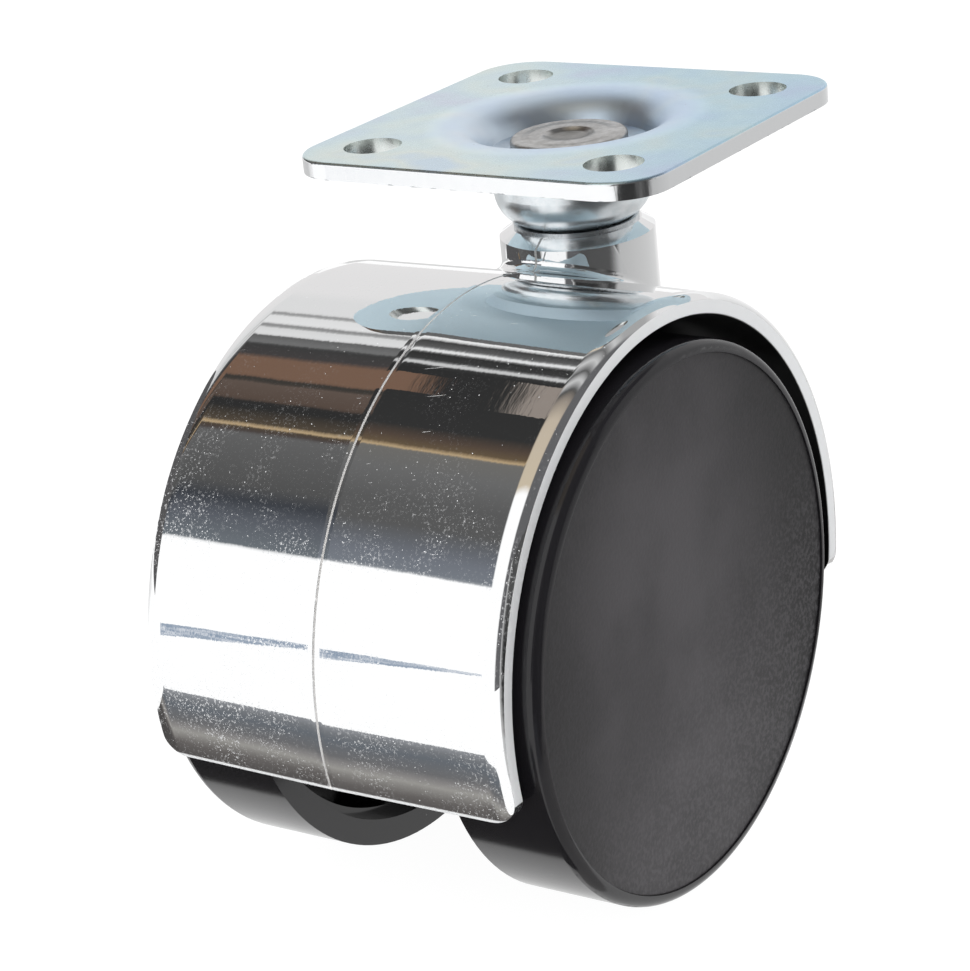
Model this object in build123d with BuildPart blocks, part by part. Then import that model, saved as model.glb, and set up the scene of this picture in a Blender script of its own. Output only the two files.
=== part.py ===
from build123d import *
import os
from math import hypot, radians, sqrt, tan

# Twin wheel castor: a pressed top plate riveted to a king pin, a die-cast hood that swivels on the
# pin, and two hollow moulded wheels that turn by themselves on one axle.
# Origin: centre of the plate's top face, on the swivel axis. +Z up, +X to the hood's front,
# axle along Y, left wheel on +Y. Millimetres.

# Clearances
running = 0.05        # radial, shaft in hole
side_play = 0.3       # axial, between pieces that turn against each other
seat_play = 0.1       # axial, pin collar over its washer
press = 0.01          # radial, axle in its boss
touching = 0.001      # distance at which an edge counts as lying on a surface

# Top plate, pressed from sheet
plate_side = 37.4
plate_corner = 5.0
sheet = 1.6
sheared_edge = 0.3    # rounding of the plate's upper edge
screw_pitch = 25.4
screw_hole = 5.3
dish_floor = 14.8     # diameter of the dish's flat floor
dish_depth = 2.6
dish_lean = 0.55      # run of the dish's wall for each unit of depth
dish_lip = 4.0        # bend radius at the dish's mouth
dish_corner = 0.4     # radius inside the dish's foot

# King pin, turned and riveted
tenon_d = 7.0
head_d = 10.8
head_t = 1.1
head_round = 0.4
dimple_d = 4.8
dimple_depth = 0.4
collar_d = 14.6
collar_h = 5.0
bulb_h = 3.0          # rounded lower part of the collar
collar_foot = 10.8
shank_d = 8.0
shank_tip = 2.0       # shank below the retaining ring
tip_chamfer = 0.6

# Thrust washer and retaining ring
washer_d = 11.6
washer_t = 0.4
ring_bite = 0.7       # depth of its groove in the shank
ring_w = 1.9          # radial
ring_t = 0.8
ring_mouth = 4.6

# Wheels and axle
axle_x = 18.3
axle_drop = 39.5
axle_d = 6.0
axle_chamfer = 0.4
wheel_d = 50.0
wheel_w = 10.3
wheel_gap = 20.0      # between the wheels' inner faces
tread_round = 1.0
inner_round = 0.9
face_band = 0.15      # flat edge between the tread's rounding and the textured face
face_step = 0.2
face_t = 2.0
rim_t = 2.4
rim_ledge = 0.8       # step inside the rim
ledge_depth = 1.6
hub_d = 11.0
hub_proud = 0.4       # hub beyond the wheel's inner face
rib_count = 8
rib_t = 1.2
rib_depth = 3.0
blind_gap = 0.3       # axle end to the blind end of the hub

# Axle clips
clip_t = 0.8
clip_bite = 0.4       # depth of its groove in the axle
clip_w = 0.8          # radial
clip_room = 0.2
clip_setback = 2.2    # from the axle's end
clip_mouth = 3.0

# Hood, one casting
hood_wall = 1.9
hood_back = 1.4       # hood's centre behind the axle
hood_low = 0.7        # and below it
wheel_clear = 0.6     # wheel to hood, where they come nearest
wheel_proud = 1.8     # wheel beyond the hood's rim
draft = 0.9           # degrees, from the seam to each rim
core_draft = 0.5      # degrees, inside
rim_round = 0.65
rim_break = 0.15
skirt = 7.3           # lower edge below the axle
skirt_corner = 2.5
web_t = 3.2
boss_d = 12.0
neck_d = 14.4
neck_depth = 8.0      # neck's lower end below the shell's inside, on the swivel axis
neck_bevel = 1.2
neck_bevel_h = 0.8
neck_root = 0.8
seam_groove = 0.12

# Heights and places that follow
floor_z = -dish_depth
collar_z = floor_z - sheet
foot_z = collar_z - collar_h
washer_z = foot_z - seat_play - washer_t
neck_z = washer_z
axle_z = -axle_drop
wheel_r = wheel_d / 2
wheel_in = wheel_gap / 2
wheel_out = wheel_in + wheel_w
hub_in = wheel_in - hub_proud
boss_half = hub_in - side_play
disc_out = wheel_out - face_step
disc_in = disc_out - face_t
axle_half = disc_in - blind_gap
clip_at = axle_half - clip_setback
hood_x = axle_x - hood_back
hood_z = axle_z - hood_low
hood_half = wheel_out - wheel_proud
core_rim = wheel_r + wheel_clear + hypot(hood_back, hood_low)
core_seam = core_rim - hood_half * tan(radians(core_draft))
hood_rim = core_rim + hood_wall
hood_seam = hood_rim + hood_half * tan(radians(draft))
skirt_z = axle_z - skirt
neck_end = hood_z + sqrt(core_seam**2 - hood_x**2) - neck_depth
ring_z = neck_end - side_play - ring_t
pin_end = ring_z - shank_tip
ring_groove = shank_d - 2 * ring_bite
ring_d = ring_groove + 2 * ring_w
clip_groove = axle_d - 2 * clip_bite
clip_d = clip_groove + 2 * clip_w

swivel_axis = Axis.Z
axle_axis = Axis((axle_x, 0, axle_z), (0, 1, 0))
hood_axis = Axis((hood_x, 0, hood_z), (0, 1, 0))

os.makedirs("parts", exist_ok=True)


def across(x, z, side):
    """Upright plane at x with its own x outwards along Y on that side, and its own y up from z."""
    return Plane(origin=(x, 0, z), x_dir=(0, side, 0), z_dir=(side, 0, 0))


def disc_plane(y, side):
    """Plane square to the axle, facing outwards on that side."""
    return Plane(origin=(axle_x, side * y, axle_z), x_dir=(1, 0, 0), z_dir=(0, side, 0))


# Top plate: square sheet with a drawn dish that takes the riveted head
sheet_run = sheet * sqrt(1 + dish_lean**2)
mouth_r = dish_floor / 2 + dish_lean * dish_depth
dish_rim = mouth_r + dish_lip
under_lip = mouth_r + sheet_run - dish_lean * sheet
under_foot = dish_floor / 2 + sheet_run - dish_lean * sheet

with BuildPart() as top_plate:
    with BuildSketch():
        RectangleRounded(plate_side, plate_side, plate_corner)
        Circle(dish_rim, mode=Mode.SUBTRACT)
        with GridLocations(screw_pitch, screw_pitch, 2, 2):
            Circle(screw_hole / 2, mode=Mode.SUBTRACT)
    extrude(amount=-sheet)
    fillet(top_plate.faces().sort_by(Axis.Z)[-1].outer_wire().edges(), sheared_edge)
    with BuildSketch(Plane.XZ) as dish:
        with BuildLine():
            Polyline(
                (tenon_d / 2 + running, floor_z),
                (dish_floor / 2, floor_z),
                (mouth_r, 0),
                (dish_rim, 0),
                (dish_rim, -sheet),
                (under_lip, -sheet),
                (under_foot, collar_z),
                (tenon_d / 2 + running, collar_z),
                close=True,
            )
        make_face()
        corners = dish.vertices()
        fillet(corners.sort_by_distance((mouth_r, 0))[0], dish_lip)
        fillet(corners.sort_by_distance((dish_floor / 2, floor_z))[0], dish_corner)
        fillet(corners.sort_by_distance((under_lip, -sheet))[0], dish_lip - sheet)
        fillet(corners.sort_by_distance((under_foot, collar_z))[0], dish_corner + sheet)
    revolve(axis=swivel_axis)

top_plate.part.label = "top_plate"
export_step(top_plate.part, "parts/top_plate.step")

# King pin: riveted head with a dimple, tenon, rounded collar, shank and ring groove
with BuildPart() as king_pin:
    with BuildSketch(Plane.XZ) as pin:
        with BuildLine():
            head_z = floor_z + head_t
            dimple = TangentArc((0, head_z - dimple_depth), (dimple_d / 2, head_z), tangent=(1, 0))
            Polyline(
                dimple @ 1,
                (head_d / 2, head_z),
                (head_d / 2, floor_z),
                (tenon_d / 2, floor_z),
                (tenon_d / 2, collar_z),
                (collar_d / 2, collar_z),
                (collar_d / 2, foot_z + bulb_h),
            )
            bulb = TangentArc((collar_d / 2, foot_z + bulb_h), (collar_foot / 2, foot_z), tangent=(0, -1))
            Polyline(
                bulb @ 1,
                (shank_d / 2, foot_z),
                (shank_d / 2, ring_z + ring_t + running),
                (ring_groove / 2, ring_z + ring_t + running),
                (ring_groove / 2, ring_z - running),
                (shank_d / 2, ring_z - running),
                (shank_d / 2, pin_end + tip_chamfer),
                (shank_d / 2 - tip_chamfer, pin_end),
                (0, pin_end),
                dimple @ 0,
            )
        make_face()
        fillet(pin.vertices().sort_by_distance((head_d / 2, head_z))[0], head_round)
    revolve(axis=swivel_axis)

king_pin.part.label = "king_pin"
export_step(king_pin.part, "parts/king_pin.step")

# Thrust washer on the neck's top
with BuildPart() as thrust_washer:
    with BuildSketch(Plane.XY.offset(washer_z)):
        Circle(washer_d / 2)
        Circle(shank_d / 2 + running, mode=Mode.SUBTRACT)
    extrude(amount=washer_t)

thrust_washer.part.label = "thrust_washer"
export_step(thrust_washer.part, "parts/thrust_washer.step")

# Retaining ring in the pin's groove, open to the rear
with BuildPart() as retaining_ring:
    with BuildSketch(Plane.XY.offset(ring_z)):
        Circle(ring_d / 2)
        Circle(ring_groove / 2 + running, mode=Mode.SUBTRACT)
        with Locations((-ring_d / 2, 0)):
            Rectangle(ring_d, ring_mouth, mode=Mode.SUBTRACT)
    extrude(amount=ring_t)

retaining_ring.part.label = "retaining_ring"
export_step(retaining_ring.part, "parts/retaining_ring.step")

# Hood: two tapered halves that meet at a seam, hollowed for the wheels, with a middle web
with BuildPart() as hood:
    with BuildSketch(across(hood_x, hood_z, 1)):
        with BuildLine():
            Polyline((0, 0), (0, hood_seam), (hood_half, hood_rim), (hood_half, 0), close=True)
        make_face()
    revolve(axis=hood_axis)
    with BuildSketch(Plane.YZ.offset(hood_x)) as front:
        with Locations((0, skirt_z)):
            Rectangle(hood_half, skirt + 2 * hood_seam, align=(Align.MIN, Align.MIN))
        fillet(front.vertices().sort_by_distance((hood_half, skirt_z))[0], skirt_corner)
    extrude(amount=2 * hood_seam, both=True, mode=Mode.INTERSECT)

    def off_centre(point):
        """Distance from the hood's own axis."""
        return hypot(point.X - hood_x, point.Z - hood_z)

    def on_outer_edge(edge):
        """True for the edge that runs down the rim, round the corner and along the skirt."""
        middle = edge.position_at(0.5)
        return off_centre(middle) > core_rim + hood_wall / 2 and middle.Y > web_t / 2

    fillet(hood.edges().filter_by(on_outer_edge), rim_round)
    with BuildSketch(across(hood_x, hood_z, 1)):
        with BuildLine():
            Polyline(
                (0, 0),
                (0, core_seam),
                (hood_half - rim_break, core_rim),
                (hood_half, core_rim + rim_break),
                (hood_half, 0),
                close=True,
            )
        make_face()
    revolve(axis=hood_axis, mode=Mode.SUBTRACT)

    # Neck with a bevelled mouth, blended into the shell
    with BuildSketch(Plane.XZ):
        with BuildLine():
            Polyline(
                (0, neck_end),
                (neck_d / 2, neck_end),
                (neck_d / 2, neck_z - neck_bevel_h),
                (neck_d / 2 - neck_bevel, neck_z),
                (0, neck_z),
                close=True,
            )
        make_face()
    revolve(axis=swivel_axis, revolution_arc=180)

    def on_neck_root(edge):
        """True for the curve where the neck leaves the outside of the shell."""
        middle = edge.position_at(0.5)
        on_neck = abs(hypot(middle.X, middle.Y) - neck_d / 2) < touching
        outside = off_centre(middle) > core_rim + hood_wall / 2
        return on_neck and outside and middle.Y > web_t / 2 and edge.geom_type != GeomType.CIRCLE

    fillet(hood.edges().filter_by(on_neck_root), neck_root)

    # Fine groove along the seam, then the other half
    def on_seam(edge):
        """True for the outer edges of the face where the two halves meet."""
        level = max(abs((edge @ t).Y) for t in (0, 0.5, 1)) < touching
        outside = off_centre(edge @ 0.5) > core_rim + hood_wall / 2
        return level and outside and (edge @ 0.5).Z < neck_z - touching

    chamfer(hood.edges().filter_by(on_seam), seam_groove)
    mirror(about=Plane.XZ)

    # Middle web, from the neck and the axle boss up to the shell
    with BuildSketch(Plane.XZ):
        with Locations((hood_x, hood_z)):
            Circle((core_seam + hood_seam) / 2)
        with BuildLine():
            Polyline(
                (0, 0),
                (0, neck_end),
                (neck_d / 2, neck_end),
                (axle_x - boss_d / 4, axle_z - boss_d / 4),
                (axle_x, axle_z - boss_d / 3),
                (hood_x + hood_seam, axle_z - boss_d / 3),
                (hood_x + hood_seam, 0),
                close=True,
            )
        make_face(mode=Mode.INTERSECT)
    extrude(amount=web_t / 2, both=True)
    with BuildSketch(Plane.XZ):
        with Locations((axle_x, axle_z)):
            Circle(boss_d / 2)
    extrude(amount=boss_half, both=True)

    # Room over the neck for the washer and the pin's collar
    with BuildSketch(Plane.XY.offset(neck_z)):
        Circle(collar_d / 2 + side_play)
    extrude(amount=collar_z - neck_z, mode=Mode.SUBTRACT)

    # Bores for the king pin and the axle
    with BuildSketch(Plane.XY.offset(neck_z)):
        Circle(shank_d / 2 + running)
    extrude(amount=neck_end - neck_z, mode=Mode.SUBTRACT)
    with BuildSketch(Plane.XZ):
        with Locations((axle_x, axle_z)):
            Circle(axle_d / 2 + press)
    extrude(amount=boss_half, both=True, mode=Mode.SUBTRACT)

hood.part.label = "hood"
export_step(hood.part, "parts/hood.step")

# Axle: plain pin with a clip groove near each end
with BuildPart() as axle:
    with BuildSketch(Plane.XZ):
        with Locations((axle_x, axle_z)):
            Circle(axle_d / 2)
    extrude(amount=axle_half, both=True)
    chamfer(axle.edges().filter_by(GeomType.CIRCLE), axle_chamfer)
    for side in (1, -1):
        with BuildSketch(disc_plane(clip_at, side)):
            Circle(axle_d)
            Circle(clip_groove / 2, mode=Mode.SUBTRACT)
        extrude(amount=clip_t / 2 + running, both=True, mode=Mode.SUBTRACT)

axle.part.label = "axle"
export_step(axle.part, "parts/axle.step")

for side, hand in ((1, "left"), (-1, "right")):
    # Axle clip: sprung ring that stands out of its groove into the hub
    with BuildPart() as clip:
        with BuildSketch(disc_plane(clip_at, side)):
            Circle(clip_d / 2)
            Circle(clip_groove / 2 + running, mode=Mode.SUBTRACT)
            with Locations((clip_d / 2, 0)):
                Rectangle(clip_d, clip_mouth, mode=Mode.SUBTRACT)
        extrude(amount=clip_t / 2, both=True)

    clip.part.label = f"{hand}_axle_clip"
    export_step(clip.part, f"parts/{hand}_axle_clip.step")

    # Wheel: closed outer face, tread, ribbed hollow and a blind hub with room for the clip
    with BuildPart() as wheel:
        bore_r = axle_d / 2 + running
        face_r = wheel_r - tread_round - face_band
        rim_r = wheel_r - rim_t
        ledge_r = rim_r - rim_ledge
        ledge_at = wheel_in + ledge_depth
        clip_half = clip_t / 2 + clip_room
        with BuildSketch(across(axle_x, axle_z, side)) as section:
            with BuildLine():
                Polyline(
                    (hub_in, bore_r),
                    (hub_in, hub_d / 2),
                    (disc_in, hub_d / 2),
                    (disc_in, ledge_r),
                    (ledge_at, ledge_r),
                    (ledge_at, rim_r),
                    (wheel_in, rim_r),
                    (wheel_in, wheel_r),
                    (wheel_out, wheel_r),
                    (wheel_out, face_r),
                    (disc_out, face_r),
                    (disc_out, 0),
                    (disc_in, 0),
                    (disc_in, bore_r),
                    (clip_at + clip_half, bore_r),
                    (clip_at + clip_half, clip_d / 2 + clip_room),
                    (clip_at - clip_half, clip_d / 2 + clip_room),
                    (clip_at - clip_half, bore_r),
                    close=True,
                )
            make_face()
            edges = section.vertices()
            fillet(edges.sort_by_distance((wheel_out, wheel_r))[0], tread_round)
            fillet(edges.sort_by_distance((wheel_in, wheel_r))[0], inner_round)
        revolve(axis=axle_axis)
        rib_r = (hub_d / 2 + ledge_r) / 2
        rib_length = ledge_r - hub_d / 2 + rib_t
        with BuildSketch(disc_plane(disc_in - rib_depth, side)):
            with PolarLocations(rib_r, rib_count):
                Rectangle(rib_length, rib_t)
        extrude(amount=rib_depth)

    wheel.part.label = f"{hand}_wheel"
    export_step(wheel.part, f"parts/{hand}_wheel.step")
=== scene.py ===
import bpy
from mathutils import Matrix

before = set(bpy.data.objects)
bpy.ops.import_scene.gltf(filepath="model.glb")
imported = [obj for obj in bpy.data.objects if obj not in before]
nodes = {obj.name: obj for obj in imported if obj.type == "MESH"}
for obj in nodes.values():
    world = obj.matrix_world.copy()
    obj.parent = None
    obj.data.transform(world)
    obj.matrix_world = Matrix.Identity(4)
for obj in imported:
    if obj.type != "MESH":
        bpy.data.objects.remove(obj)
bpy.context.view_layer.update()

import math

import bmesh
import bpy
from mathutils import Quaternion, Vector

# Twin wheel castor, dressed: mirror chrome hood, blue zinc plate and pin, black moulded wheels.
# Metres, in the part's own frame: origin on the plate's top face, +Z up, axle along Y.

MM = 0.001

# Places on the part, in millimetres
AXLE = (18.3, -39.5)            # x and z of the axle
HOOD = (16.9, -40.2)            # x and z of the hood's own axis
BORE_R = 27.2                   # inside of the hood, from that axis
RIM_Y = 18.5                    # flat end of the hood, from the middle
RIM_FLAT_R = 28.45              # where that flat end starts to round over
SKIRT_Z = -46.8                 # lower edge of the hood
ROLL_Y = 16.7                   # the shell starts to roll towards its rim here
ROLL_LEAN = 0.56                # sine of the angle at which it gets there
FACE_R = 23.85                  # textured face of a wheel
FACE_Y = 20.1                   # its plane, from the middle
HEAD_Z = -2.6                   # the riveted head is above this
PLATE_EDGE = 16.4               # the plate's own edge lies beyond this, its holes within
FLOOR_Z = -64.5

# Camera: where it stands, how it is turned and how long its lens is
EYE = (224.68, 148.59, 66.96)
AZIMUTH, ELEVATION, ROLL = 125.81, 20.68, -6.13
FOCAL_PX = 3039.0
IMAGE_PX = 971
SENSOR = 36.0


class Graph:
    """A node tree with short ways to add and join nodes. A value may be a number, a colour or a socket."""

    def __init__(self, tree):
        self.tree = tree
        tree.nodes.clear()

    def put(self, socket, value):
        if isinstance(value, bpy.types.NodeSocket):
            self.tree.links.new(value, socket)
        elif isinstance(value, (tuple, list)) and len(value) == 3 and socket.type == "RGBA":
            socket.default_value = (*value, 1)
        else:
            socket.default_value = value

    def add(self, kind, inputs=None, **settings):
        node = self.tree.nodes.new(kind)
        for name, value in settings.items():
            setattr(node, name, value)
        for name, value in (inputs or {}).items():
            self.put(node.inputs[name], value)
        return node

    def math(self, operation, *values):
        node = self.add("ShaderNodeMath", operation=operation)
        for socket, value in zip(node.inputs, values):
            self.put(socket, value)
        return node.outputs[0]

    def product(self, first, *others):
        for other in others:
            first = self.math("MULTIPLY", first, other)
        return first

    def total(self, *pairs):
        """Sum of values, each times its weight."""
        parts = [self.math("MULTIPLY", value, weight) for value, weight in pairs]
        while len(parts) > 1:
            parts.append(self.math("ADD", parts.pop(0), parts.pop(0)))
        return parts[0]

    def step(self, value, low, high, first=0.0, last=1.0):
        """Smooth change from first to last as value goes from low to high."""
        node = self.add("ShaderNodeMapRange", interpolation_type="SMOOTHSTEP")
        for name, number in (("From Min", low), ("From Max", high), ("To Min", first), ("To Max", last)):
            self.put(node.inputs[name], number)
        self.put(node.inputs["Value"], value)
        return node.outputs["Result"]

    def blend(self, factor, first, last, how="MIX"):
        node = self.add("ShaderNodeMix", data_type="RGBA", blend_type=how)
        for socket, value in zip((node.inputs[0], node.inputs[6], node.inputs[7]), (factor, first, last)):
            self.put(socket, value)
        return node.outputs[2]

    def part_way(self, value, low, high):
        """How far a value has gone from low to high, from 0 to 1."""
        inputs = {"Value": value, "From Min": low, "From Max": high}
        return self.add("ShaderNodeMapRange", inputs).outputs["Result"]

    def ramp(self, value, stops, low=0.0, high=1.0):
        """Colours along a value, which goes from low to high."""
        node = self.add("ShaderNodeValToRGB", {"Fac": self.part_way(value, low, high)})
        points = node.color_ramp.elements
        while len(points) < len(stops):
            points.new(1)
        for point, (place, colour) in zip(points, stops):
            point.position = (place - low) / (high - low)
            point.color = (*colour, 1) if isinstance(colour, tuple) else (colour,) * 3 + (1,)
        return node.outputs["Color"]

    def millimetres(self):
        """The object's own coordinates, in millimetres."""
        where = self.add("ShaderNodeTexCoord").outputs["Object"]
        node = self.add("ShaderNodeVectorMath", {0: where, "Scale": 1 / MM}, operation="SCALE")
        return node.outputs[0]

    def split(self, vector):
        return self.add("ShaderNodeSeparateXYZ", {0: vector}).outputs

    def distance(self, u, v, centre=(0.0, 0.0)):
        """Distance of a point from a centre, in one plane."""
        du, dv = (self.math("SUBTRACT", value, middle) for value, middle in zip((u, v), centre))
        return self.math("SQRT", self.total((du, du), (dv, dv)))

    def stretch(self, vector, scale, turn=(0, 0, 0)):
        """Coordinates in which a pattern is drawn out by scale along axes that are turned by these angles."""
        inputs = {"Vector": vector, "Scale": scale, "Rotation": turn}
        return self.add("ShaderNodeMapping", inputs, vector_type="TEXTURE").outputs[0]

    def noise(self, vector, scale, detail=3.0, rough=0.5):
        inputs = {"Vector": vector, "Scale": scale, "Detail": detail, "Roughness": rough}
        return self.add("ShaderNodeTexNoise", inputs).outputs["Fac"]

    def dots(self, vector, scale, size, share):
        """Scattered round dots: about that share of the cells that scale makes holds one, up to that size."""
        cell = self.add("ShaderNodeTexVoronoi", {"Vector": vector, "Scale": scale})
        pick = self.split(cell.outputs["Color"])
        chosen = self.math("LESS_THAN", pick[0], share)
        inside = self.math("LESS_THAN", cell.outputs["Distance"], self.math("MULTIPLY", pick[1], size))
        return self.math("MULTIPLY", chosen, inside)

    def bump(self, height, normal=None):
        """Normal of a surface raised by a height in millimetres, from its own normal or a given one."""
        node = self.add("ShaderNodeBump", {"Height": height, "Strength": 1.0, "Distance": MM})
        if normal:
            self.put(node.inputs["Normal"], normal)
        return node.outputs[0]

    def lean(self, share, x, y, z):
        """The surface's own normal, blended by a share with a direction in the object's own axes."""
        towards = self.add("ShaderNodeCombineXYZ", {"X": x, "Y": y, "Z": z}).outputs[0]
        turned = self.add("ShaderNodeVectorTransform", {0: towards}, vector_type="NORMAL",
                          convert_from="OBJECT", convert_to="WORLD").outputs[0]
        own = self.add("ShaderNodeNewGeometry").outputs["Normal"]
        node = self.add("ShaderNodeMix", data_type="VECTOR")
        for socket, value in zip((node.inputs[0], node.inputs[4], node.inputs[5]), (share, own, turned)):
            self.put(socket, value)
        return node.outputs[1]

    def surface(self, shader):
        out = self.add("ShaderNodeOutputMaterial")
        self.tree.links.new(shader, out.inputs["Surface"])

    def principled(self, **inputs):
        """The usual surface; an underscore in a name stands for a space."""
        named = {name.replace("_", " "): value for name, value in inputs.items()}
        self.surface(self.add("ShaderNodeBsdfPrincipled", named).outputs[0])

    def glow(self, colour):
        self.surface(self.add("ShaderNodeEmission", {"Color": colour, "Strength": 1.0}).outputs[0])


def material(name, draw):
    made = bpy.data.materials.new(name)
    made.use_nodes = True
    draw(Graph(made.node_tree))
    return made


def dust_and_hairs(g, where, y, z):
    """How marked the chrome is: patches of dust, most of it low down, and a few hairlines."""
    patchy = g.step(g.noise(where, 0.16, 2.0), 0.42, 0.62, 0.12, 1.0)
    crowd = g.product(patchy, g.step(z, -16.0, -29.0, 0.12, 1.0), g.step(y, 10.0, -12.0, 0.55, 1.0))
    smear = g.product(g.step(g.noise(where, 4.0, 3.0, 0.65), 0.53, 0.70), crowd, 0.6)
    fine = g.dots(where, 7.0, 0.4, g.math("MULTIPLY", crowd, 0.24))
    coarse = g.dots(where, 2.6, 0.16, g.math("MULTIPLY", crowd, 0.22))
    along = g.dots(g.stretch(where, (1, 90, 1), (0.1, 0, 0.25)), 3.0, 0.085, 0.6)
    around = g.dots(g.stretch(where, (1, 1, 50), (0.2, -0.5, 0)), 3.0, 0.085, 0.5)
    specks = g.math("MULTIPLY", g.math("MAXIMUM", fine, coarse), 0.7)
    hairs = g.math("MULTIPLY", g.math("MAXIMUM", along, around), 0.45)
    return g.math("MAXIMUM", g.math("MAXIMUM", specks, smear), hairs)


def rolled_normal(g, x, y, z, radius, out):
    """Normal of the shell, which leans over more and more towards each rim."""
    sideways = g.math("MULTIPLY", g.part_way(out, ROLL_Y, RIM_Y), ROLL_LEAN)
    upright = g.math("SQRT", g.math("SUBTRACT", 1.0, g.math("MULTIPLY", sideways, sideways)))
    outwards = g.math("DIVIDE", upright, radius)
    return g.lean(
        g.product(g.math("GREATER_THAN", radius, RIM_FLAT_R), g.math("GREATER_THAN", out, ROLL_Y)),
        g.math("MULTIPLY", g.math("SUBTRACT", x, HOOD[0]), outwards),
        g.math("MULTIPLY", g.math("SIGN", y), sideways),
        g.math("MULTIPLY", g.math("SUBTRACT", z, HOOD[1]), outwards),
    )


def chrome(g):
    """Mirror plating on a casting: satin on the rims' flat ends, and a painted highlight along the lower edge,
    which is made a near-white satin that is hardly metal; dull inside, where painted shade makes it near black.
    """
    where = g.millimetres()
    x, y, z = g.split(where)
    radius = g.distance(x, z, HOOD)
    out = g.math("ABSOLUTE", y)
    # Painted shade: inside the hood the colour goes near black; its dull finish there is real
    inside = g.step(radius, BORE_R + 0.1, BORE_R)
    marks = dust_and_hairs(g, where, y, z)
    groove = g.step(out, 0.14, 0.08)
    end = g.product(g.step(out, RIM_Y - 0.12, RIM_Y - 0.06), g.math("LESS_THAN", radius, RIM_FLAT_R))
    # Painted highlight: the lower edge is made near-white and hardly metal, so it shows as a bright line
    hem_highlight = g.product(g.step(z, SKIRT_Z + 0.6, SKIRT_Z + 0.42), g.math("GREATER_THAN", radius, BORE_R + 0.1))
    flat = g.math("MAXIMUM", end, hem_highlight)
    haze = g.step(g.noise(where, 0.25, 3.0), 0.45, 0.75, 0.012, 0.03)
    seam_dip = g.step(out, 0.0, 0.6, -0.01, 0.0)
    ripple = g.noise(g.stretch(where, (1.6, 0.4, 1.6)), 1.0, 2.0)
    calm = g.step(out, ROLL_Y, ROLL_Y + 0.6, 1.0, 0.25)
    waves = g.total((g.noise(where, 0.16, 1.0), 0.012), (ripple, 0.002))
    sparkle = g.math("MULTIPLY", g.noise(where, 4.0, 2.0, 0.6), flat)
    height = g.total((g.math("MULTIPLY", waves, calm), 1.0), (seam_dip, 1.0), (sparkle, 0.02))
    plated = g.blend(g.math("MAXIMUM", marks, flat), (0.91, 0.915, 0.92), (0.80, 0.81, 0.82))
    seamed = g.blend(groove, plated, (0.80, 0.79, 0.78))
    g.principled(
        Base_Color=g.blend(inside, seamed, (0.012, 0.012, 0.013)),
        Metallic=g.total((1.0, 1.0), (marks, -1.0), (flat, -0.45), (hem_highlight, -0.5), (groove, -0.35)),
        Roughness=g.total((haze, 1.0), (marks, 0.5), (inside, 0.5), (groove, 0.4), (flat, 0.42)),
        Normal=g.bump(height, rolled_normal(g, x, y, z, radius, out)),
    )


ZINC_TINTS = [
    (0.30, (0.69, 0.76, 0.91)), (0.42, (0.69, 0.85, 0.93)), (0.52, (0.75, 0.90, 0.91)),
    (0.60, (0.81, 0.90, 0.86)), (0.70, (0.67, 0.82, 0.94)),
]


def zinc_plate(g):
    """Blue zinc plating on pressed sheet: pale, with faint rainbow tints; bright sheared edge, torn below."""
    where = g.millimetres()
    x, y, z = g.split(where)
    reach = g.math("MAXIMUM", g.math("ABSOLUTE", x), g.math("ABSOLUTE", y))
    facing = g.split(g.add("ShaderNodeTexCoord").outputs["Normal"])[2]
    upright = g.step(g.math("ABSOLUTE", facing), 0.6, 0.3)
    edge = g.product(upright, g.step(reach, PLATE_EDGE - 0.1, PLATE_EDGE))
    # Painted shade: the top turns darker and bluer towards its -X, +Y side
    shade_across = g.step(g.total((x, -0.55), (y, 0.83)), -10.0, 14.0)
    away = g.distance(x, y)
    dish = g.step(away, 13.5, 10.5)
    lip = g.product(g.step(away, 8.4, 10.0), g.step(away, 13.6, 11.8))
    holes = g.product(upright, g.step(away, 14.0, 15.0))
    tint = g.ramp(g.noise(where, 0.085, 2.0, 0.6), ZINC_TINTS)
    mottle = g.noise(where, 0.8, 5.0, 0.65)
    dull = g.step(mottle, 0.25, 0.8, 0.24, 0.32)
    under = g.step(facing, -0.2, -0.6)
    bright = g.blend(g.step(mottle, 0.35, 0.75, 0.0, 0.12), tint, (0.84, 0.88, 0.88))
    shaded = g.blend(shade_across, bright, g.blend(1.0, bright, (0.72, 0.84, 0.93), "MULTIPLY"))
    top = g.blend(g.math("MULTIPLY", dish, 0.6), shaded, (0.68, 0.77, 0.95))
    stain = g.dots(where, 0.9, 0.1, 0.3)
    torn = g.step(g.total((z, 1.0), (g.noise(where, 1.2, 3.0), 0.5)), -1.32, -1.42)
    sheared = g.blend(torn, (0.90, 0.91, 0.92), (0.35, 0.37, 0.39))
    streaks = g.noise(g.stretch(where, (1, 1, 6)), 2.4, 1.0)
    grain = g.noise(where, 3.0, 2.0, 0.6)
    stained = g.blend(g.math("MULTIPLY", stain, 0.5), top, (0.25, 0.27, 0.28))
    face = g.blend(under, g.blend(holes, stained, (0.80, 0.84, 0.82)), (0.60, 0.74, 0.81))
    smooth = g.step(under, 0.0, 1.0, 0.0018, 0.0002)
    g.principled(
        Base_Color=g.blend(edge, face, sheared),
        Metallic=g.total((1.0, 1.0), (under, -0.4), (lip, -0.16)),
        Roughness=g.total((dull, 1.0), (edge, -0.12), (under, 0.15), (dish, 0.14)),
        Normal=g.bump(g.total((grain, smooth), (g.math("MULTIPLY", streaks, edge), 0.012))),
    )


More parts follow.
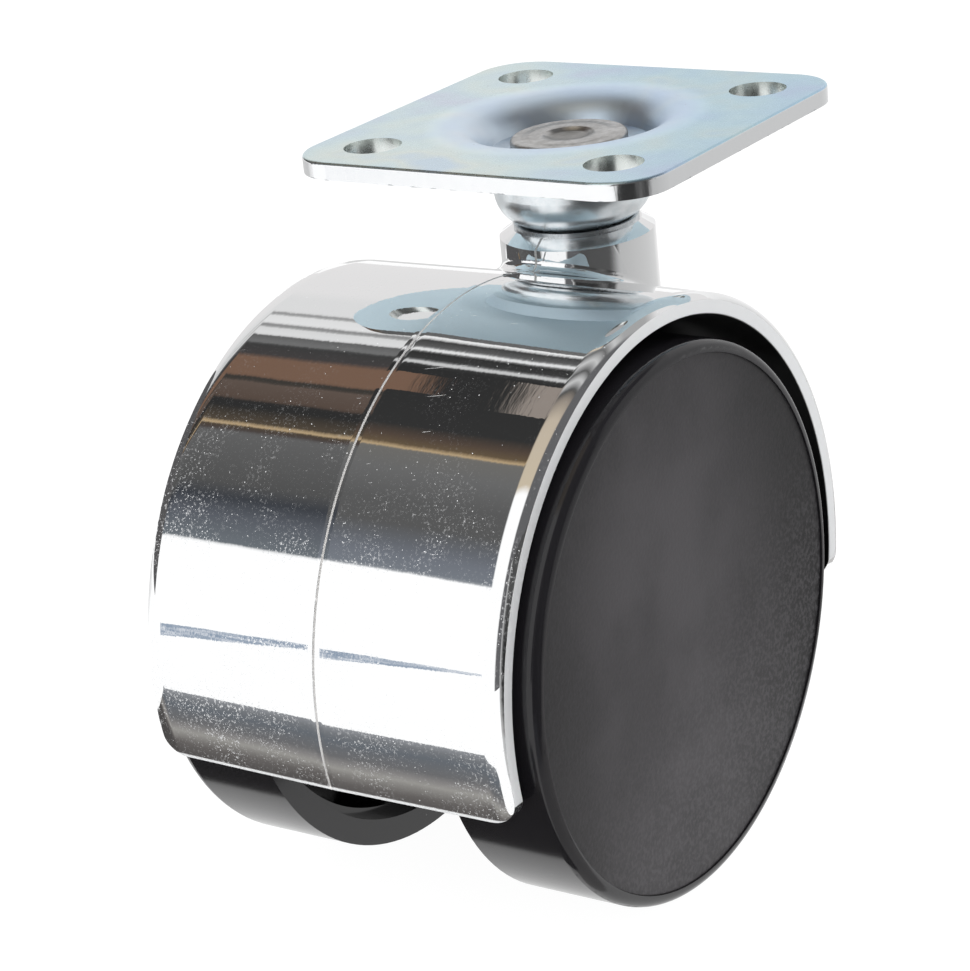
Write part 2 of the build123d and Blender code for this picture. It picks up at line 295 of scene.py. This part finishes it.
def zinc_pin(g):
    """The king pin: bare hammered steel on the riveted and punched head, bright zinc below the plate."""
    where = g.millimetres()
    x, y, z = g.split(where)
    bare = g.step(z, HEAD_Z - 0.2, HEAD_Z + 0.1)
    worn = g.noise(where, 1.1, 4.0, 0.65)
    zinc = g.ramp(worn, [(0.3, (0.78, 0.84, 0.87)), (0.7, (0.90, 0.93, 0.95))])
    away = g.distance(x, y)
    hammered = g.ramp(worn, [
        (0.3, (0.42, 0.41, 0.40)), (0.52, (0.56, 0.555, 0.545)), (0.72, (0.72, 0.715, 0.71)),
    ])
    # Painted shade: the middle of the punched dimple is darkened
    head = g.blend(g.step(away, 2.5, 1.6, 0.0, 0.7), hammered, (0.22, 0.215, 0.205))
    turned = g.math("SINE", g.math("MULTIPLY", away, 14.0))
    punched = g.total((turned, 0.004), (g.step(away, 1.5, 2.7), 0.5), (g.step(away, 3.6, 4.4), -0.12))
    height = g.total((g.math("MULTIPLY", punched, bare), 1.0), (g.noise(where, 0.9, 2.0), 0.012))
    g.principled(
        Base_Color=g.blend(bare, zinc, head),
        Metallic=1.0,
        Roughness=g.step(bare, 0.0, 1.0, 0.27, 0.36),
        Normal=g.bump(height),
    )


def steel(colour, dark, rough):
    """Plain plated steel for the small pieces."""
    def draw(g):
        where = g.millimetres()
        worn = g.noise(where, 0.7, 3.0, 0.6)
        g.principled(
            Base_Color=g.blend(g.step(worn, 0.35, 0.7), dark, colour),
            Metallic=1.0,
            Roughness=g.step(worn, 0.3, 0.7, rough + 0.12, rough),
            Normal=g.bump(g.math("MULTIPLY", worn, 0.01)),
        )
    return draw


def nylon(g):
    """Black moulded nylon: glossy tread and shoulder, and a matt, spark-eroded grain on the outer face, with a
    painted sheen in its middle.
    """
    where = g.millimetres()
    x, y, z = g.split(where)
    radius = g.distance(x, z, AXLE)
    out = g.math("ABSOLUTE", y)
    face = g.product(g.step(out, FACE_Y - 0.15, FACE_Y - 0.05), g.step(radius, FACE_R, FACE_R - 0.1))
    cloud = g.noise(where, 0.07, 3.0, 0.6)
    fine = g.noise(where, 3.0, 2.0, 0.6)
    # Painted sheen: the face is lighter in a broad patch round its middle and darker towards its edge
    painted_sheen = g.step(g.distance(x, g.math("MULTIPLY", z, 0.55), (21.0, -22.5)), 25.0, 5.0)
    coarse = g.step(g.total((x, -0.45), (z, -0.9)), 25.0, 44.0, 0.15, 1.0)
    speckle = g.math("MULTIPLY", g.step(g.noise(where, 2.4, 3.0, 0.65), 0.40, 0.66), coarse)
    cloudy = g.blend(g.step(cloud, 0.35, 0.65), (0.032, 0.030, 0.033), (0.048, 0.045, 0.049))
    matte = g.blend(painted_sheen, (0.010, 0.0095, 0.0105), cloudy)
    grainy = g.blend(g.math("MULTIPLY", speckle, 0.45), matte, (0.085, 0.081, 0.087))
    dust = g.dots(where, 0.9, 0.09, 0.06)
    height = g.total((g.math("MULTIPLY", fine, face), 0.03), (g.math("MULTIPLY", cloud, face), 0.02))
    g.principled(
        Base_Color=g.blend(dust, g.blend(face, (0.009, 0.0085, 0.010), grainy), (0.25, 0.25, 0.25)),
        Roughness=g.total((face, 0.46), (dust, 0.1), (1.0, 0.14)),
        Specular_IOR_Level=0.45,
        Normal=g.bump(height),
    )


looks = {
    "hood": material("chrome", chrome),
    "top_plate": material("zinc_plate", zinc_plate),
    "king_pin": material("zinc_pin", zinc_pin),
    "thrust_washer": material("washer_steel", steel((0.74, 0.77, 0.79), (0.52, 0.55, 0.57), 0.2)),
    "retaining_ring": material("spring_steel", steel((0.42, 0.43, 0.45), (0.27, 0.28, 0.29), 0.34)),
    "axle": material("axle_steel", steel((0.62, 0.63, 0.64), (0.45, 0.46, 0.47), 0.24)),
    "left_wheel": material("black_nylon", nylon),
}
looks["left_axle_clip"] = looks["right_axle_clip"] = looks["retaining_ring"]
looks["right_wheel"] = looks["left_wheel"]
for name, node in nodes.items():
    node.data.materials.clear()
    node.data.materials.append(looks[name])


def sheet(name, rows, draw):
    """A stage piece: quads between neighbouring rows of points, given in millimetres."""
    made = bmesh.new()
    grid = [[made.verts.new(Vector(p) * MM) for p in row] for row in rows]
    for one, two in zip(grid, grid[1:]):
        for i in range(len(one) - 1):
            made.faces.new((one[i], one[i + 1], two[i + 1], two[i]))
    mesh = bpy.data.meshes.new(name)
    made.to_mesh(mesh)
    made.free()
    mesh.materials.append(material(name, draw))
    piece = bpy.data.objects.new(name, mesh)
    bpy.context.scene.collection.objects.link(piece)
    return piece


def card(name, rows, draw):
    """A sheet that shows in polished surfaces and nowhere else, and casts no shadow."""
    piece = sheet(name, rows, draw)
    piece.visible_camera = False
    piece.visible_diffuse = False
    piece.visible_transmission = False
    piece.visible_shadow = False


def seen(g):
    """1 for what the camera sees directly, in a mirror or through glass."""
    path = g.add("ShaderNodeLightPath").outputs
    bent = g.math("MAXIMUM", path["Is Glossy Ray"], path["Is Transmission Ray"])
    return g.math("MAXIMUM", path["Is Camera Ray"], bent)


WHITE = 1.1                     # just above what shows as full white


def floor_look(g):
    """Pale floor that shows as nearly white and keeps a soft shadow."""
    plain = g.add("ShaderNodeBsdfDiffuse", {"Color": (0.82, 0.82, 0.82)}).outputs[0]
    white = g.add("ShaderNodeEmission", {"Color": (1, 1, 1), "Strength": WHITE}).outputs[0]
    mix = g.add("ShaderNodeMixShader", {0: g.math("MULTIPLY", seen(g), 0.88), 1: plain, 2: white})
    g.surface(mix.outputs[0])


REACH = 2500
sheet("floor", [[(x, y, FLOOR_Z) for y in (-REACH, REACH)] for x in (-REACH, REACH)], floor_look)

# Painted reflections of the studio, on glowing cards seen only in the chrome: a dim wall that arches from the
# front over the top.
# The hood's far half, its near half and its near rim each mirror a stretch of it along Y, with its own look by
# angle around the hood's axis
ARCH_R = 450
ARCH_FROM, ARCH_TO = -3, 178    # degrees
ARCH_ENDS = (-900, 400)
ARCH_SPLIT = -305               # from the far half's stretch to the near half's
ARCH_RIM = (-225, -165)         # from there to the rim's
ARCH_SPAN = (0, 180)            # degrees that its colours are placed along
TAN = (0.50, 0.37, 0.22)
WOOD = (0.19, 0.115, 0.08)
PALE = (0.81, 0.80, 0.80)


def arch_reflection_look(g):
    x, y, z = g.split(g.millimetres())
    turn = g.math("ARCTAN2", g.math("SUBTRACT", z, HOOD[1]), g.math("SUBTRACT", x, HOOD[0]))
    angle = g.math("MULTIPLY", turn, 180 / math.pi)

    def between(low, high):
        return g.math("MULTIPLY", g.math("GREATER_THAN", angle, low), g.math("LESS_THAN", angle, high))

    far = g.ramp(angle, [
        (28.0, 1.12), (28.6, (0.16, 0.18, 0.20)), (38, (0.11, 0.12, 0.14)), (44.6, (0.05, 0.055, 0.065)),
        (50, 0.09), (68.6, 0.13), (69.8, (0.07, 0.055, 0.05)), (71.2, (0.09, 0.07, 0.05)), (71.4, TAN),
        (72.2, TAN), (72.8, (0.09, 0.07, 0.05)), (79, 0.03), (81.5, 0.03), (82.5, (0.10, 0.072, 0.058)),
        (89.3, (0.12, 0.09, 0.075)), (90.2, (0.05, 0.045, 0.04)), (91.4, (0.05, 0.045, 0.04)), (92.3, WOOD),
        (100.5, WOOD), (102.5, (0.06, 0.055, 0.055)), (107.4, 0.05), (108.4, 0.18), (111.8, 0.13),
        (112.6, 0.78), (116.3, 0.72), (116.9, 0.28), (118.3, 0.30), (119, 0.82), (123.4, 0.78), (124, 0.32),
        (125.3, 0.36), (126, 0.76),
    ], *ARCH_SPAN)
    near = g.ramp(angle, [
        (28.3, 1.12), (28.9, (0.20, 0.22, 0.25)), (33.8, (0.175, 0.19, 0.22)), (37.9, (0.14, 0.15, 0.17)),
        (44, 0.105), (52, 0.11), (62.4, 0.15), (69.6, (0.165, 0.16, 0.15)), (69.9, TAN), (70.7, TAN),
        (71.3, (0.14, 0.10, 0.06)), (74.6, (0.09, 0.065, 0.05)), (78.7, 0.035), (103, 0.03), (104.2, 0.05),
        (104.7, 0.6), (105.7, 0.6), (106.3, 0.05), (110.3, 0.03), (110.8, 0.8), (112, 0.8), (112.6, 0.12),
        (116.3, 0.05), (117, 0.85), (119.7, 0.85), (120.3, 0.08), (122.4, 0.08), (123.2, 0.75), (126, 0.7),
        (135, 0.6),
    ], *ARCH_SPAN)
    near = g.blend(g.math("MULTIPLY", between(92, 100), g.step(y, -268, -279)), near, WOOD)
    near = g.blend(g.math("MULTIPLY", between(88.5, 102), g.step(y, -252, -242)), near, (0.30, 0.26, 0.23))
    side = g.ramp(angle, [
        (58, 1.1), (61, (0.62, 0.53, 0.40)), (84, (0.56, 0.48, 0.38)), (92, (0.30, 0.26, 0.22)), (96, 0.08),
        (100, 0.6), (104, 0.1), (109, 0.6), (114, 0.15), (119, 0.6), (124, 0.4),
    ], *ARCH_SPAN)
    side = g.blend(g.step(y, 100, 135), side, (0.13, 0.13, 0.135))
    wall = g.blend(g.math("GREATER_THAN", y, ARCH_SPLIT), far, near)
    wall = g.blend(g.step(y, *ARCH_RIM), wall, side)
    g.glow(g.blend(g.step(angle, 134, 142), wall, PALE))


def arch_row(degrees):
    turn = math.radians(degrees)
    x, z = HOOD[0] + ARCH_R * math.cos(turn), HOOD[1] + ARCH_R * math.sin(turn)
    return [(x, y, z) for y in ARCH_ENDS]


arch = [arch_row(d) for d in range(ARCH_FROM, ARCH_TO)]
arch_centre = (HOOD[0], ARCH_ENDS[0], HOOD[1])
card("arch", arch, arch_reflection_look)
card("arch_end", [[arch_centre, row[0]] for row in arch], lambda g: g.glow((0.10, 0.098, 0.10)))

# Painted reflection of a low blue ledge in front, on glowing cards: a wedge for each half of the hood
LEDGE_X = 215


def ledge_reflection_look(g):
    worn = g.step(g.noise(g.millimetres(), 0.35, 4.0, 0.7), 0.42, 0.68)
    g.glow(g.blend(worn, (0.30, 0.37, 0.47), (0.80, 0.83, 0.88)))


for name, ends in (
    ("far_ledge", ((-166, -48.5, -64), (-131, -39.5, -45))),
    ("near_ledge", ((-115, -39.5, -51), (-85, -36.4, -38))),
):
    card(name, [[(LEDGE_X, y, top), (LEDGE_X, y, low)] for y, top, low in ends], ledge_reflection_look)

# Painted shadow: a dark glowing card on the floor in front, with a rounded corner, that the chrome mirrors in
# place of the castor's shadow
SHADOW_CARD_BACK, SHADOW_CARD_FRONT = 39.5, 88
SHADOW_CARD_NEAR, SHADOW_CARD_FAR = 22, -62
SHADOW_CARD_CORNER = 10
SHADOW_CARD_Z = FLOOR_Z + 0.5


def shadow_card_look(g):
    x = g.split(g.millimetres())[0]
    g.glow(g.ramp(x, [
        (40, (0.07, 0.068, 0.066)), (58, (0.085, 0.08, 0.078)), (61, (0.14, 0.13, 0.125)),
        (64.8, (0.34, 0.33, 0.31)), (67, (0.26, 0.25, 0.245)), (70, (0.16, 0.16, 0.165)),
        (78, (0.14, 0.155, 0.175)), (83, (0.19, 0.20, 0.215)), (88, (0.30, 0.31, 0.33)),
    ], 36, 90))


shadow_card_rows = [[(SHADOW_CARD_BACK, SHADOW_CARD_FAR), (SHADOW_CARD_FRONT, SHADOW_CARD_FAR)]]
for degrees in range(0, 91, 10):
    turn = math.radians(degrees)
    front = SHADOW_CARD_FRONT - SHADOW_CARD_CORNER * (1 - math.cos(turn))
    along = SHADOW_CARD_NEAR - SHADOW_CARD_CORNER * (1 - math.sin(turn))
    shadow_card_rows.append([(SHADOW_CARD_BACK, along), (front, along)])
card("shadow_card", [[(x, y, SHADOW_CARD_Z) for x, y in row] for row in shadow_card_rows], shadow_card_look)

# Painted reflections on a glowing card: a dark stand by the camera and grey ground around it, which the neck, the
# plate's edges and the hood's rim mirror
GROUND_NEAR, GROUND_FAR = 40, 420
GROUND_FROM, GROUND_TO = 26, 286
GROUND_Z = FLOOR_Z + 0.3
STANDING = 450                  # height of the stand
STANDING_TO = 200               # it ends at this angle
PALE_RING = (72, 84)            # the ground nearest the castor is pale up to here
CLOSE_RING = (118, 130)         # and has a look of its own up to here


def ground_reflection_look(g):
    x, y, z = g.split(g.millimetres())
    turn = g.math("MULTIPLY", g.math("ARCTAN2", y, x), 180 / math.pi)
    round_turn = g.math("ADD", turn, g.math("MULTIPLY", g.math("LESS_THAN", turn, 0.0), 360.0))
    low = g.ramp(round_turn, [
        (26, 0.6), (30, 0.03), (60, 0.035), (72, 0.14), (80, 0.05), (88, 0.08), (94, 0.5), (150, 0.62),
        (175, 0.7), (202, 0.95), (214, 0.7), (270, 0.6), (286, 0.95),
    ], 20, 290)
    high = g.ramp(round_turn, [
        (26, 0.6), (30, 0.08), (104, 0.1), (112, 0.55), (150, 0.75), (170, 1.0),
    ], 20, 290)
    close = g.ramp(round_turn, [
        (26, 0.6), (30, (0.27, 0.29, 0.32)), (42, (0.23, 0.245, 0.27)), (50, 0.06), (84, 0.06), (94, 0.5),
        (110, 0.66), (130, 0.75),
    ], 20, 290)
    away = g.distance(x, y)
    beyond = g.blend(g.step(away, *CLOSE_RING), close, g.blend(g.step(z, 0, 140), low, high))
    g.glow(g.blend(g.step(away, *PALE_RING), (0.56, 0.55, 0.545), beyond))


def ground_row(degrees):
    turn = math.radians(degrees)
    top = STANDING if degrees < STANDING_TO else FLOOR_Z + 1
    near = GROUND_NEAR if degrees < STANDING_TO else 3 * GROUND_NEAR
    places = ((near, GROUND_Z), (GROUND_FAR, GROUND_Z), (GROUND_FAR, top))
    return [(r * math.cos(turn), r * math.sin(turn), z) for r, z in places]


card("ground", [ground_row(d) for d in range(GROUND_FROM, GROUND_TO + 1, 4)], ground_reflection_look)

# Light: an even white room and three large soft boxes
world = bpy.data.worlds.new("room")
bpy.context.scene.world = world
world.use_nodes = True
g = Graph(world.node_tree)
white = g.add("ShaderNodeBackground", {"Color": (1, 1, 1), "Strength": WHITE}).outputs[0]
soft = g.add("ShaderNodeBackground", {"Color": (1, 1, 1), "Strength": 0.55}).outputs[0]
both = g.add("ShaderNodeMixShader", {0: seen(g), 1: soft, 2: white})
out = g.add("ShaderNodeOutputWorld")
world.node_tree.links.new(both.outputs[0], out.inputs["Surface"])


def soft_box(name, place, aim, size, power):
    lamp = bpy.data.lights.new(name, "AREA")
    lamp.shape = "SQUARE"
    lamp.size = size
    lamp.energy = power
    made = bpy.data.objects.new(name, lamp)
    made.location = Vector(place) * MM
    made.rotation_mode = "QUATERNION"
    made.rotation_quaternion = (Vector(aim) * MM - made.location).to_track_quat("-Z", "Y")
    made.visible_glossy = False
    bpy.context.scene.collection.objects.link(made)


soft_box("overhead", (-150, 50, 900), (0, 0, -40), 0.9, 7.0)
soft_box("left", (500, 800, 300), (15, 0, -40), 0.8, 6.0)
soft_box("right", (500, -800, 350), (15, 0, -40), 0.8, 4.0)

# Camera
lens = bpy.data.cameras.new("camera")
lens.sensor_width = SENSOR
lens.lens = FOCAL_PX / IMAGE_PX * SENSOR
lens.clip_start = 0.01
camera = bpy.data.objects.new("camera", lens)
bpy.context.scene.collection.objects.link(camera)
turn, rise = math.radians(AZIMUTH), math.radians(ELEVATION)
ahead = -Vector((math.sin(turn) * math.cos(rise), -math.cos(turn) * math.cos(rise), math.sin(rise)))
camera.location = Vector(EYE) * MM
camera.rotation_mode = "QUATERNION"
camera.rotation_quaternion = ahead.to_track_quat("-Z", "Y") @ Quaternion((0, 0, 1), math.radians(ROLL))
bpy.context.scene.camera = camera
bpy.context.scene.view_settings.view_transform = "Standard"
